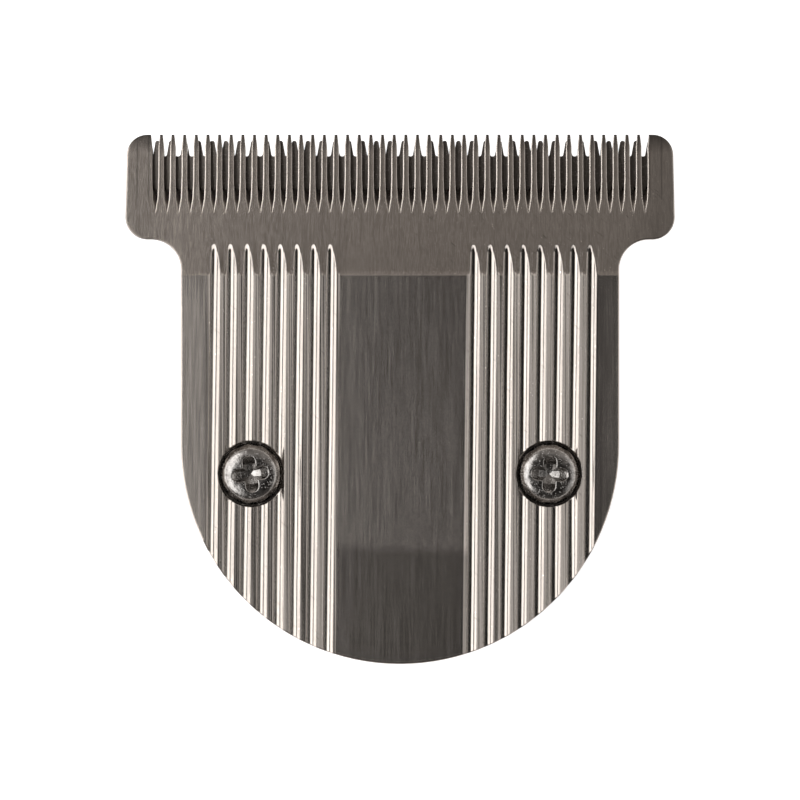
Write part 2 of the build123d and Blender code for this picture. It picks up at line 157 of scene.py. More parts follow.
seat_finish, seat_shader = start_finish("seat_nylon", metallic=0.0, roughness=0.5)
nodes = seat_finish.node_tree
mould_grain = grain(nodes, mould_grain_size)
flow_marks = grain(nodes, flow_mark_size)
feed(nodes, seat_shader, {
    "Base Color": two_tone(nodes, flow_marks, seat_black, seat_grey),
    "Roughness": grain_to(nodes, mould_grain, *seat_roughness),
})
relief(nodes, seat_shader, mould_grain, mould_grain_depth, mould_grain_strength)
coat(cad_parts["blade_seat"].data, seat_finish)

# Spring pin: the axle through the spring's two coils, lying in the seat's saddles.
# Bright steel rod, turned and parted off, so fine rings run round it.
pin_steel_dark = (0.40, 0.39, 0.37, 1)
pin_steel_light = (0.56, 0.55, 0.53, 1)
pin_roughness = (0.2, 0.34)
turning_mark_size = (0.06 * mm, 4 * mm, 4 * mm)
turning_mark_depth = 0.004 * mm
turning_mark_strength = 0.3

pin_finish, pin_shader = start_finish("pin_turned_steel", metallic=1.0, roughness=0.25)
nodes = pin_finish.node_tree
turned_rings = grain(nodes, turning_mark_size)
feed(nodes, pin_shader, {
    "Base Color": two_tone(nodes, turned_rings, pin_steel_dark, pin_steel_light),
    "Roughness": grain_to(nodes, turned_rings, *pin_roughness),
})
relief(nodes, pin_shader, turned_rings, turning_mark_depth, turning_mark_strength)
coat(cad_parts["spring_pin"].data, pin_finish)

# Pressure spring: one wire, with two coils on the pin, a bail under the seat's ledge and a leg on each side
# under the slider. Hard-drawn round spring steel, bent cold and cut square at the leg ends. Its legs press
# the cutter to the comb.
wire_radius = 0.3 * mm
coil_radius = 1.35 * mm
coil_pitch = 0.65 * mm
coil_inner_x = 3.75 * mm
coil_turns = 3
steps_per_turn = 40
bail_bend = 0.9 * mm
bend_steps = 8
wire_sides = 20
wire_cut_angle = math.radians(40)
wire_dark = (0.42, 0.41, 0.39, 1)
wire_light = (0.62, 0.61, 0.59, 1)
wire_roughness = (0.16, 0.32)
draw_mark_size = (0.05 * mm, 1.5 * mm, 0.05 * mm)
draw_mark_depth = 0.004 * mm
draw_mark_strength = 0.25
heat_tint_size = 1.2 * mm

pin_low, pin_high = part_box("spring_pin")
spring_low, spring_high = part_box("pressure_spring")
coil_y = (pin_low.y + pin_high.y) / 2
coil_z = (pin_low.z + pin_high.z) / 2
wire_z = coil_z + coil_radius
bail_y = spring_low.y + wire_radius
leg_x = coil_inner_x + coil_turns * coil_pitch

half_wire = [(0.0, bail_y, wire_z)]
for step in range(bend_steps + 1):
    turn = math.pi / 2 * step / bend_steps
    half_wire.append((
        coil_inner_x - bail_bend * (1 - math.sin(turn)),
        bail_y + bail_bend * (1 - math.cos(turn)),
        wire_z,
    ))
for step in range(coil_turns * steps_per_turn + 1):
    turn = math.tau * step / steps_per_turn
    half_wire.append((
        coil_inner_x + coil_pitch * step / steps_per_turn,
        coil_y + coil_radius * math.sin(turn),
        coil_z + coil_radius * math.cos(turn),
    ))
half_wire.append((leg_x, spring_high.y, wire_z))
whole_wire = [(-x, y, z) for x, y, z in reversed(half_wire[1:])] + half_wire


def new_tree(name, sizes):
    """An empty node tree with a geometry input and output and a named number input for each size."""
    tree = bpy.data.node_groups.new(name, "GeometryNodeTree")
    tree.interface.new_socket(name="Geometry", in_out="INPUT", socket_type="NodeSocketGeometry")
    for size, kind in sizes.items():
        tree.interface.new_socket(name=size, in_out="INPUT", socket_type=kind)
    tree.interface.new_socket(name="Geometry", in_out="OUTPUT", socket_type="NodeSocketGeometry")
    return tree, tree.nodes.new("NodeGroupInput").outputs, tree.nodes.new("NodeGroupOutput").inputs


def end_tree(tree, tree_out, geometry, finish):
    """Close a tree: its instances made real, with the finish on them."""
    solid = put(tree, "GeometryNodeRealizeInstances", {"Geometry": geometry})
    done = put(tree, "GeometryNodeSetMaterial", {"Geometry": solid, "Material": finish})
    tree.links.new(done, tree_out["Geometry"])


def run_tree(piece, tree, sizes):
    """Give the tree its sizes, run it on the piece and keep the result as the piece's plain mesh."""
    step = piece.modifiers.new(tree.name, "NODES")
    step.node_group = tree
    for socket in tree.interface.items_tree:
        if socket.in_out == "INPUT" and socket.name in sizes:
            step[socket.identifier] = sizes[socket.name]
    shown = piece.evaluated_get(bpy.context.evaluated_depsgraph_get())
    made = bpy.data.meshes.new_from_object(shown)
    piece.modifiers.remove(step)
    piece.data = made


def show(name, data):
    """A new object at the origin, in the scene."""
    thing = bpy.data.objects.new(name, data)
    bpy.context.scene.collection.objects.link(thing)
    return thing


def new_piece(name, vertices, edges, faces):
    """A mesh object of its own points, in the scene."""
    mesh = bpy.data.meshes.new(name)
    mesh.from_pydata(vertices, edges, faces)
    return show(name, mesh)


def smooth(mesh, sharp_angle):
    """Shade a mesh smooth, apart from edges sharper than the angle."""
    mesh.shade_smooth()
    mesh.set_sharp_from_angle(angle=sharp_angle)


spring_finish, spring_shader = start_finish("spring_wire_steel", metallic=1.0, roughness=0.22)
nodes = spring_finish.node_tree
draw_marks = grain(nodes, draw_mark_size)
heat_tint = grain(nodes, heat_tint_size)
feed(nodes, spring_shader, {
    "Base Color": two_tone(nodes, heat_tint, wire_dark, wire_light),
    "Roughness": grain_to(nodes, draw_marks, *wire_roughness),
})
relief(nodes, spring_shader, draw_marks, draw_mark_depth, draw_mark_strength)

wire_tree, wire_in, wire_out = new_tree("bent_wire", {
    "Wire Radius": "NodeSocketFloat", "Wire Sides": "NodeSocketInt",
})
wire_line = put(wire_tree, "GeometryNodeMeshToCurve", {"Mesh": wire_in["Geometry"]})
wire_round = put(wire_tree, "GeometryNodeCurvePrimitiveCircle", {
    "Resolution": wire_in["Wire Sides"], "Radius": wire_in["Wire Radius"],
})
wire_skin = put(wire_tree, "GeometryNodeCurveToMesh", {
    "Curve": wire_line, "Profile Curve": wire_round, "Fill Caps": True,
})
end_tree(wire_tree, wire_out, wire_skin, spring_finish)

wire_steps = [(step, step + 1) for step in range(len(whole_wire) - 1)]
spring = new_piece("pressure_spring_wire", whole_wire, wire_steps, [])
run_tree(spring, wire_tree, {"Wire Radius": wire_radius, "Wire Sides": wire_sides})
smooth(spring.data, wire_cut_angle)
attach(spring, "head")
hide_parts("pressure_spring")

# Drive slider: the follower pressed onto the back of the cutter by two pegs, with the fork for the clipper's
# cam. Natural acetal, moulded, satin and slightly waxy, with faint flow lines from the gate.
acetal_light = (0.80, 0.78, 0.72, 1)
acetal_shade = (0.70, 0.68, 0.61, 1)
acetal_roughness = (0.32, 0.46)
acetal_glow = 0.08
acetal_glow_depth = 0.4 * mm
flow_line_size = (3 * mm, 0.5 * mm, 3 * mm)
satin_size = 0.14 * mm
satin_depth = 0.006 * mm
satin_strength = 0.25

slider_finish, slider_shader = start_finish("slider_acetal", metallic=0.0, roughness=0.38)
slider_shader.inputs["Subsurface Weight"].default_value = acetal_glow
slider_shader.inputs["Subsurface Scale"].default_value = acetal_glow_depth
nodes = slider_finish.node_tree
flow_lines = grain(nodes, flow_line_size)
satin = grain(nodes, satin_size)
feed(nodes, slider_shader, {
    "Base Color": two_tone(nodes, flow_lines, acetal_shade, acetal_light),
    "Roughness": grain_to(nodes, satin, *acetal_roughness),
})
relief(nodes, slider_shader, satin, satin_depth, satin_strength)
coat(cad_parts["drive_slider"].data, slider_finish)

# Cutter blade: the moving row of 37 teeth that slides behind the comb, with round gullets between the teeth.
# Hardened steel, ground flat, left dark and oily, with bright specks and fine scratches across the teeth.
# The slider's two pegs carry it.
cutter_dark = (0.14, 0.122, 0.108, 1)
cutter_light = (0.45, 0.415, 0.38, 1)
cutter_roughness = (0.34, 0.5)
cutter_relief_depth = 0.01 * mm
cutter_relief_strength = 0.3
cutter_edge_round = 0.05 * mm
cutter_sharp_angle = math.radians(25)
ground_line_size = (0.07 * mm, 2.5 * mm, 0.07 * mm)
ground_line_tone = 0.3
cutter_speck_size = 0.09 * mm
cutter_speck_cut = (0.64, 0.72)
cutter_scratch_size = (0.5 * mm, 0.05 * mm, 0.05 * mm)
cutter_scratch_cut = (0.66, 0.72)
cutter_scratch_tone = 0.7
gullet_depth = 1.26 * mm
gullet_lift = 0.12 * mm
gullet_round = 0.14 * mm
gullet_steps = 5
flat_angle = math.radians(1)
weld_gap = 0.001 * mm
same_place = 0.01 * mm


def calc(tree, operation, first, *others):
    """Arithmetic on one value, or on several from left to right."""
    result = first
    for other in others or (0.0,):
        result = put(tree, "ShaderNodeMath", {0: result, 1: other}, operation=operation)
    return result


def rising(tree, value, low, high):
    """How far a value has come from low to high, from 0 to 1."""
    return between(tree, value, low, high, 0.0, 1.0)


def pick(tree, share, at_none, at_full):
    """A value that goes from one to another as a share goes from 0 to 1."""
    return between(tree, share, 0.0, 1.0, at_none, at_full)


cutter_finish, cutter_shader = start_finish("cutter_ground_steel", metallic=1.0, roughness=0.4)
nodes = cutter_finish.node_tree
ground_lines = grain_to(nodes, grain(nodes, ground_line_size, detail=3.0), 0.0, ground_line_tone)
specks = rising(nodes, grain(nodes, cutter_speck_size, detail=1.0), *cutter_speck_cut)
scratches = between(
    nodes, grain(nodes, cutter_scratch_size, detail=1.0), *cutter_scratch_cut, 0.0, cutter_scratch_tone,
)
tone = calc(nodes, "MAXIMUM", ground_lines, specks, scratches)
feed(nodes, cutter_shader, {
    "Base Color": two_tone(nodes, tone, cutter_dark, cutter_light),
    "Roughness": pick(nodes, tone, *cutter_roughness),
})
cutter_edges = put(nodes, "ShaderNodeBevel", {"Radius": cutter_edge_round}, samples=6)
relief(nodes, cutter_shader, tone, cutter_relief_depth, cutter_relief_strength, cutter_edges)

cutter_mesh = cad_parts["cutter_blade"].data.copy()
gullet_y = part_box("cutter_blade")[1].y - gullet_depth
shape = bmesh.new()
shape.from_mesh(cutter_mesh)
bmesh.ops.remove_doubles(shape, verts=shape.verts, dist=weld_gap)
bmesh.ops.dissolve_limit(shape, angle_limit=flat_angle, verts=shape.verts, edges=shape.edges)
gullet_edges = []
for edge in shape.edges:
    first, second = edge.verts
    at_floor = all(abs(corner.co.y - gullet_y) < same_place for corner in edge.verts)
    if at_floor and abs(first.co.x - second.co.x) < same_place:
        gullet_edges.append(edge)
for corner in {corner for edge in gullet_edges for corner in edge.verts}:
    corner.co.y += gullet_lift
bmesh.ops.bevel(
    shape, geom=gullet_edges, offset=gullet_round, offset_type="OFFSET", segments=gullet_steps, profile=0.5,
    affect="EDGES",
)
bmesh.ops.triangulate(shape, faces=shape.faces)
shape.to_mesh(cutter_mesh)
shape.free()
coat(cutter_mesh, cutter_finish)
smooth(cutter_mesh, cutter_sharp_angle)
cutter = show("cutter_ground_blade", cutter_mesh)
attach(cutter, "cutter")
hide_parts("cutter_blade")

# Comb blade: the fixed T-shaped plate with 42 teeth, a ground bevel and two groups of one-sided grooves that
# end in bright arches. Stainless steel, brushed lengthways before the grooves were milled, with painted shade
# in the slots and tooth edges rounded in the shading normal, with a painted highlight on their left edges.
# Two screws through its counterbores hold it on the seat.
comb_dark = (0.362, 0.327, 0.297, 1)
comb_light = (0.442, 0.401, 0.366, 1)
comb_roughness = (0.186, 0.21)
bevel_length = 10.3 * mm
bevel_step = 0.03 * mm
bevel_ramp = 0.25 * mm
bevel_polish = 0.75
tip_thickness = 0.4 * mm
edge_round = 0.12 * mm
machined_depth = (0.01 * mm, 0.05 * mm)
machined_polish = 0.5

brush_line_size = (0.07 * mm, 5.0 * mm, 0.07 * mm)
brush_band_size = (0.42 * mm, 15.0 * mm, 0.42 * mm)
brush_band_share = 0.3
speckle_size = 0.1 * mm
speckle_share = 0.3
brush_range = (0.65, 0.95)
brush_anisotropy = 0.85
brush_depth = 0.003 * mm
brush_strength = 0.3
brush_on_machined = 0.3

# Painted shade: deep in the tooth slots the steel is coloured dark.
painted_slot_shade = (0.075, 0.066, 0.058, 1)
slot_length = 5.75 * mm
slot_row_half = 18.7 * mm
slot_shade_depth = (0.05 * mm, 0.12 * mm)
slot_shade_from_end = (0.3 * mm, 1.0 * mm)
rear_skin = (0.005 * mm, 0.03 * mm)
ramp_length = 1.9 * mm
ramp_fade = 0.3 * mm
ramp_lead = 0.2 * mm
ramp_depth = (0.05 * mm, 0.15 * mm)
ramp_normal = (0.0, 0.5, 0.87)
ramp_force = 3.0

tooth_pitch = 0.85 * mm
tooth_from_slot_end = (0.4 * mm, 1.4 * mm)
# Painted shade darkens the last stretch of the teeth towards their tips.
tooth_tip_fade = 1.4 * mm
tooth_tip_end = 0.2 * mm
painted_tip_shade = 0.4
# Painted shade: a dark streak down the middle of each tooth.
tooth_streak_at = 0.44
tooth_streak_half = (0.03, 0.1)
painted_streak_shade = 0.7
# Painted highlight on edges that lean to the left.
left_edge_lean = (-0.35, -0.1)
painted_left_edge_highlight = 1.45
# Painted shade on edges that lean towards the tips.
rim_lean = (0.2, 0.6)
painted_rim_shade = 0.3

panel_middle = 0.27 * mm
panel_half = 4.75 * mm
# Painted reflection on the panel: brighter above the heel line and darker below it.
heel_y = -10.5 * mm
heel_fade = (-0.7 * mm, 0.2 * mm)
heel_lean = 0.04
heel_blur = 0.3 * mm
painted_heel_highlight = 1.25
painted_heel_shade = 0.78

groove_pitch = 1.21 * mm
groove_width = 0.7 * mm
groove_span = 0.94 * mm
groove_skew = math.radians(0.6)
groove_floor = (0.18 * mm, 0.26 * mm)
groove_floor_polish = 0.95
groove_front = (2.2 * mm, 2.4 * mm)
groove_end = 2.5 * mm
grooves_in_group = 8
land_edge = (-0.02 * mm, 0.05 * mm)
land_roll = (0.185, 0.4625)
land_streak_size = (0.13 * mm, 40 * mm, 0.13 * mm)
land_streak_range = (0.35, 0.65)
shoulder_edge = (-0.04 * mm, 0.02 * mm)
shoulder_roll = 0.15

arch_past_bevel = 1.71 * mm
arch_middle = 0.21 * mm
arch_inner = 0.12 * mm
arch_outer = 0.22 * mm
arch_soft = 0.03 * mm
arch_squeeze = 0.4
arch_foot = 0.1
arch_normal = (-0.25, 0.0, 0.97)
arch_force = 4.0

# Painted highlight on the margins beside the grooves.
margin_from = 14.5 * mm
margin_fade = 2.5 * mm
painted_margin_highlight = 1.28
# Painted shade towards the ends of the head.
head_end = (16.5 * mm, 18.7 * mm)
painted_head_end_shade = 0.82
scratch_lean = math.radians(-40)
scratch_size = (1.0 * mm, 0.07 * mm, 1.0 * mm)
scratch_cut = (0.72, 0.77)
scratch_shade = 0.55
speck_size = 0.1 * mm
speck_offset = 3.0
speck_cut = (0.74, 0.79)
speck_shine = 2.2

comb_low, comb_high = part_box("comb_blade")
bevel_y = comb_high.y - bevel_length
bevel_slope = (comb_high.z - comb_low.z - bevel_step - tip_thickness) / bevel_length
bevel_normal = (0.0, bevel_slope, 1.0)
slot_end_y = comb_high.y - slot_length
inner_strip = panel_half - groove_pitch + groove_span
group_edge = panel_half + grooves_in_group * groove_pitch
last_groove_edge = group_edge - groove_pitch + groove_width


def axes(tree, vector):
    """The X, Y and Z of a vector, as three values."""
    split = tree.nodes.new("ShaderNodeSeparateXYZ")
    tree.links.new(vector, split.inputs[0])
    return list(split.outputs)


def plus(tree, *values):
    """The sum of several values."""
    return calc(tree, "ADD", *values)


def minus(tree, first, second):
    """What is left of the first value without the second."""
    return calc(tree, "SUBTRACT", first, second)


def times(tree, *values):
    """The product of several values."""
    return calc(tree, "MULTIPLY", *values)


def added(tree, first, second):
    """The sum of two vectors."""
    return put(tree, "ShaderNodeVectorMath", {0: first, 1: second}, operation="ADD")


def scaled(tree, vector, share):
    """A vector or a colour, times a share."""
    return put(tree, "ShaderNodeVectorMath", {0: vector, "Scale": share}, operation="SCALE")


def falling(tree, value, low, high):
    """How far a value has still to go from low to high, from 1 to 0."""
    return between(tree, value, low, high, 1.0, 0.0)


def held_to(tree, share, tone):
    """A tone that counts only as far as the share says, and elsewhere leaves the steel as it is."""
    return plus(tree, 1.0, times(tree, share, minus(tree, tone, 1.0)))


comb_finish, comb_shader = start_finish("comb_brushed_steel", metallic=1.0, roughness=0.4)
comb_shader.inputs["Anisotropic"].default_value = brush_anisotropy
nodes = comb_finish.node_tree
at_x, at_y, at_z = axes(nodes, place_on_piece(nodes))
soft_edges = put(nodes, "ShaderNodeBevel", {"Radius": edge_round}, samples=8)
lean_x, lean_y = axes(nodes, soft_edges)[:2]

# Depth below the ground face, which drops at the bevel; what lies deeper was milled.
past_bevel = minus(nodes, at_y, bevel_y)
bevel_fall = times(nodes, calc(nodes, "MAXIMUM", past_bevel, 0.0), bevel_slope)
step_fall = between(nodes, past_bevel, 0.0, bevel_ramp, 0.0, bevel_step)
face_level = minus(nodes, comb_high.z, plus(nodes, bevel_fall, step_fall))
below_face = minus(nodes, face_level, at_z)
machined = rising(nodes, below_face, *machined_depth)
on_face = falling(nodes, machined, 0.0, 1.0)

# The tooth row: its slots, coloured dark deep down as painted shade, and the ramps on which they come up to
# the bevel.
past_slot_end = minus(nodes, at_y, slot_end_y)
off_centre = calc(nodes, "ABSOLUTE", at_x)
in_row = times(
    nodes,
    calc(nodes, "LESS_THAN", off_centre, slot_row_half),
    rising(nodes, minus(nodes, at_z, comb_low.z), *rear_skin),
)
painted_slot_shade_mask = times(
    nodes,
    rising(nodes, below_face, *slot_shade_depth),
    rising(nodes, past_slot_end, *slot_shade_from_end),
    in_row,
)
on_ramp = times(
    nodes,
    rising(nodes, below_face, *ramp_depth),
    falling(nodes, past_slot_end, ramp_length - ramp_fade, ramp_length),
    calc(nodes, "GREATER_THAN", past_slot_end, -ramp_lead),
    in_row,
)

# The grooves: where a point lies across the skewed pattern, and past which groove's steep side.
aside = minus(
    nodes,
    times(nodes, minus(nodes, at_x, panel_middle), math.cos(groove_skew)),
    times(nodes, at_y, math.sin(groove_skew)),
)
off_middle = calc(nodes, "ABSOLUTE", aside)
on_panel = calc(nodes, "LESS_THAN", off_middle, panel_half)
on_right = calc(nodes, "GREATER_THAN", aside, 0.0)
first_groove = pick(nodes, on_right, -panel_half - groove_span, panel_half)
past_groove = calc(nodes, "FLOORED_MODULO", minus(nodes, aside, first_groove), groove_pitch)
in_group = times(
    nodes,
    calc(nodes, "GREATER_THAN", off_middle, inner_strip),
    calc(nodes, "LESS_THAN", off_middle, group_edge),
    falling(nodes, past_bevel, *groove_front),
)
among_grooves = times(
    nodes,
    calc(nodes, "GREATER_THAN", off_middle, pick(nodes, on_right, panel_half, inner_strip)),
    calc(nodes, "LESS_THAN", off_middle, pick(nodes, on_right, group_edge, last_groove_edge)),
)

# The brushed steel, with its fine lines, broad bands and speckle.
speckle = grain(nodes, speckle_size)
brush_sum = plus(
    nodes,
    grain(nodes, brush_line_size, detail=3.0),
    times(nodes, grain(nodes, brush_band_size), brush_band_share),
    times(nodes, speckle, speckle_share),
)
brush = rising(nodes, brush_sum, *brush_range)

# Painted reflection on the panel, brighter above the heel and darker on it, a painted highlight on the
# margins beside the grooves and painted shade on the ends of the head.
heel_line = plus(nodes, at_y, times(nodes, at_x, heel_lean), times(nodes, speckle, heel_blur))
past_heel = minus(nodes, heel_line, heel_y)
heel_reflection_share = times(nodes, on_panel, falling(nodes, at_y, heel_y, bevel_y), on_face)
painted_panel_reflection = held_to(nodes, heel_reflection_share, between(nodes, past_heel, *heel_fade, painted_heel_shade, painted_heel_highlight))
margin_highlight_share = times(
    nodes,
    on_face,
    falling(nodes, past_bevel, -margin_fade, 0.0),
    calc(nodes, "GREATER_THAN", off_middle, margin_from),
)
painted_margin_light = pick(nodes, margin_highlight_share, 1.0, painted_margin_highlight)
painted_end_shade = between(nodes, off_centre, *head_end, 1.0, painted_head_end_shade)

# Painted light on the teeth: painted shade on the tips and rims and in a streak down the middle, and a
# painted highlight on the left edge.
on_teeth = rising(nodes, past_slot_end, *tooth_from_slot_end)
painted_tip_tone = between(
    nodes, at_y, comb_high.y - tooth_tip_fade, comb_high.y - tooth_tip_end, 1.0, painted_tip_shade,
)
painted_rim_tone = between(nodes, lean_y, *rim_lean, 1.0, painted_rim_shade)
tooth_phase = calc(nodes, "FLOORED_MODULO", calc(nodes, "DIVIDE", at_x, tooth_pitch), 1.0)
off_streak = calc(nodes, "ABSOLUTE", minus(nodes, tooth_phase, tooth_streak_at))
painted_streak_tone = between(nodes, off_streak, *tooth_streak_half, painted_streak_shade, 1.0)
painted_left_edge_tone = between(nodes, lean_x, *left_edge_lean, painted_left_edge_highlight, 1.0)
painted_tooth_tone = held_to(nodes, on_teeth, times(nodes, painted_streak_tone, painted_left_edge_tone))

# Wear: dark slanting scratches and bright specks.
scratch_place = put(nodes, "ShaderNodeMapping", {
    "Vector": place_on_piece(nodes), "Rotation": (0.0, 0.0, scratch_lean), "Scale": scratch_size,
}, vector_type="TEXTURE")
face_scratches = put(nodes, "ShaderNodeTexNoise", {"Vector": scratch_place, "Scale": 1.0, "Detail": 1.0})
scratch_tone = between(nodes, face_scratches, *scratch_cut, 1.0, scratch_shade)
face_specks = grain(nodes, speck_size, detail=1.0, offset=speck_offset)
speck_tone = between(nodes, face_specks, *speck_cut, 1.0, speck_shine)

# The steel's colour carries the wear marks and the painted light and shade.
wear_and_painted_light = times(
    nodes, painted_tip_tone, painted_rim_tone, painted_tooth_tone, scratch_tone, speck_tone, painted_panel_reflection, painted_margin_light, painted_end_shade,
)
steel = scaled(nodes, two_tone(nodes, brush, comb_dark, comb_light), wear_and_painted_light)

# Gloss: the bevel and the milled faces are smoother than the face, the groove floors hardly so.
on_floor = times(nodes, in_group, falling(nodes, past_groove, *groove_floor))
polish = pick(nodes, machined, 1.0, pick(nodes, on_floor, machined_polish, groove_floor_polish))
face_polish = between(nodes, past_bevel, 0.0, bevel_ramp, 1.0, bevel_polish)
# The slots take the painted shade colour in place of the steel.
feed(nodes, comb_shader, {
    "Base Color": two_tone(nodes, painted_slot_shade_mask, steel, painted_slot_shade),
    "Roughness": times(nodes, pick(nodes, brush, *comb_roughness), face_polish, polish),
    "Tangent": put(nodes, "ShaderNodeCombineXYZ", {"X": 1.0}),
})

# Lands and shoulders beside the grooves are rolled a little to the right, with streaks along them.
past_floor = rising(nodes, past_groove, groove_width + land_edge[0], groove_width + land_edge[1])
above_grooves = times(nodes, past_floor, calc(nodes, "LESS_THAN", machined, 0.5))
shoulder = between(
    nodes, past_groove, groove_span + shoulder_edge[0], groove_span + shoulder_edge[1], shoulder_roll, 0.0,
)
on_lands = times(nodes, among_grooves, falling(nodes, past_bevel, 0.0, bevel_ramp))
land_streaks = grain(nodes, land_streak_size, detail=1.0)
land = times(nodes, on_lands, between(nodes, land_streaks, *land_streak_range, *land_roll))
roll = plus(nodes, times(nodes, shoulder, in_group), land)
rolled = put(nodes, "ShaderNodeCombineXYZ", {"X": times(nodes, roll, above_grooves)})

# Each groove ends on the bevel in a round arch, and the face is flat beyond it.
arch_aside = plus(nodes, past_groove, groove_pitch / 2 - arch_middle)
arch_aside = calc(nodes, "FLOORED_MODULO", arch_aside, groove_pitch)
arch_aside = minus(nodes, arch_aside, groove_pitch / 2)
arch_along = times(nodes, minus(nodes, past_bevel, arch_past_bevel), arch_squeeze)
arch_square = plus(nodes, times(nodes, arch_aside, arch_aside), times(nodes, arch_along, arch_along))
arch_radius = calc(nodes, "SQRT", arch_square)
at_end = times(
    nodes,
    among_grooves,
    calc(nodes, "GREATER_THAN", arch_along, 0.0),
    calc(nodes, "LESS_THAN", past_bevel, groove_end),
)
on_arch = times(
    nodes,
    rising(nodes, arch_radius, arch_inner - arch_soft, arch_inner + arch_soft),
    falling(nodes, arch_radius, arch_outer - arch_soft, arch_outer + arch_soft),
    between(nodes, arch_aside, -arch_outer, 0.0, arch_foot, 1.0),
    at_end,
)
past_arch = times(nodes, rising(nodes, arch_radius, arch_outer - arch_soft, arch_outer + arch_soft), at_end)

# The shading normal leans with all of these, and the brush lines lie on it.
worn_normal = added(nodes, soft_edges, rolled)
for share, force, way in (
    (on_ramp, ramp_force, ramp_normal),
    (on_arch, arch_force, arch_normal),
    (past_arch, arch_force, bevel_normal),
):
    worn_normal = added(nodes, worn_normal, scaled(nodes, way, times(nodes, share, force)))
worn_normal = put(nodes, "ShaderNodeVectorMath", {0: worn_normal}, operation="NORMALIZE")
brush_height = times(nodes, brush, pick(nodes, machined, 1.0, brush_on_machined))
relief(nodes, comb_shader, brush_height, brush_depth, brush_strength, worn_normal)
coat(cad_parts["comb_blade"].data, comb_finish)

# Seat screws: two pan head screws that hold the comb on the seat, sunk in the comb's counterbores.
# Steel, cold headed with a cross recess, thread rolled, dark nickel plated; the recess is nicked from use.
head_radius = 2.25 * mm
head_height = 1.5 * mm
crown_radius = 1.8 * mm
crown_slope = 0.39
crown_power = 4.2
flank_lean = math.radians(45)
shank_radius = 1.25 * mm
thread_depth = 0.22 * mm
thread_pitch = 0.9 * mm
thread_flank = 3.52
point_length = 0.5 * mm
point_share = 0.6
wing_reach = 1.34 * mm
wing_half = 0.47 * mm
wing_end_slope = 1.15
wing_side_slope = 3.2
recess_lip = 0.1 * mm
recess_depth = 0.72 * mm
recess_point_half = 0.55 * mm
recess_point_slope = 0.21
screw_turn = math.radians(8)
turn_between = math.radians(-11)
head_sectors = 144
recess_rings = 78
crown_rings = 12
rows_per_pitch = 8
screw_sharp_angle = math.radians(50)
nickel_dark = (0.21, 0.198, 0.188, 1)
nickel_light = (0.52, 0.50, 0.48, 1)
nickel_roughness = (0.16, 0.32)
plating_size = 0.35 * mm
plating_tone = 0.7
plating_depth = 0.02 * mm
plating_strength = 0.5
nick_size = 0.12 * mm
nick_cut = (0.64, 0.7)

screws_low, screws_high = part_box("seat_screws")
screw_x = screws_high.x - head_radius
screw_y = (screws_low.y + screws_high.y) / 2
recess_edge = wing_reach + recess_lip
shank_end = screws_low.z - screws_high.z
shank_rows = round((-head_height - shank_end) / thread_pitch * rows_per_pitch)


def head_drop(radius):
    """How far the head's surface lies below its top, at a radius: a flat crown and a round, steep flank."""
    on_crown = min(radius, crown_radius)
    drop = crown_slope * on_crown / (crown_power + 1) * (on_crown / crown_radius) ** crown_power
    if radius > crown_radius:
        flank_radius = (head_radius - crown_radius) / (1 - math.sin(flank_lean))
        flank_middle = head_radius - flank_radius
        rise = math.sqrt(max(0.0, flank_radius ** 2 - (radius - flank_middle) ** 2))
        drop += flank_radius * math.cos(flank_lean) - rise
    return drop


def wing(along, side):
    """Depth of one pair of the recess's wings, round at its ends, at a place along and beside its line."""
    past_end = max(0.0, abs(along) - (wing_reach - wing_half))
    side_wall = (wing_half - math.hypot(past_end, side)) * wing_side_slope
    end_wall = (wing_reach - math.hypot(along, side)) * wing_end_slope
    floor = recess_depth + recess_point_slope * (recess_point_half - max(abs(along), abs(side)))
    return min(end_wall, side_wall, floor)


def lipped(depth):
    """The recess's depth with its sharp upper edge rounded over."""
    return (depth + math.sqrt(depth ** 2 + recess_lip ** 2 / 4)) / 2


def round_ring(radius, height):
    """One ring of the screw's surface, the same all round."""
    return [(radius, height)] * head_sectors


rings = []
for ring in range(1, recess_rings + 1):
    radius = recess_edge * ring / recess_rings
    recess_ring = []
    for sector in range(head_sectors):
        beside = radius * math.cos(math.tau * sector / head_sectors)
        ahead = radius * math.sin(math.tau * sector / head_sectors)
        depth = lipped(max(wing(beside, ahead), wing(ahead, beside)))
        recess_ring.append((radius, -head_drop(radius) - depth))
    rings.append(recess_ring)
for ring in range(1, crown_rings + 1):
    radius = recess_edge + (crown_radius - recess_edge) * ring / crown_rings
    rings.append(round_ring(radius, -head_drop(radius)))
for ring in range(1, crown_rings + 1):
    lean = flank_lean + (math.pi / 2 - flank_lean) * ring / crown_rings
    flank = (math.sin(lean) - math.sin(flank_lean)) / (1 - math.sin(flank_lean))
    radius = crown_radius + (head_radius - crown_radius) * flank
    rings.append(round_ring(radius, -head_drop(radius)))
rings.append(round_ring(head_radius, -head_height))
rings.append(round_ring(shank_radius - thread_depth, -head_height))
for row in range(1, shank_rows):
    height = -head_height + (shank_end + head_height) * row / shank_rows
    taper = min(1.0, (height - shank_end) / point_length)
    thread_ring = []
    for sector in range(head_sectors):
        phase = (height / thread_pitch + sector / head_sectors) % 1.0
        crest = max(0.0, 1.0 - thread_flank * abs(phase - 0.5))
        radius = (shank_radius - thread_depth * (1 - crest)) * (point_share + (1 - point_share) * taper)
        thread_ring.append((radius, height))
    rings.append(thread_ring)

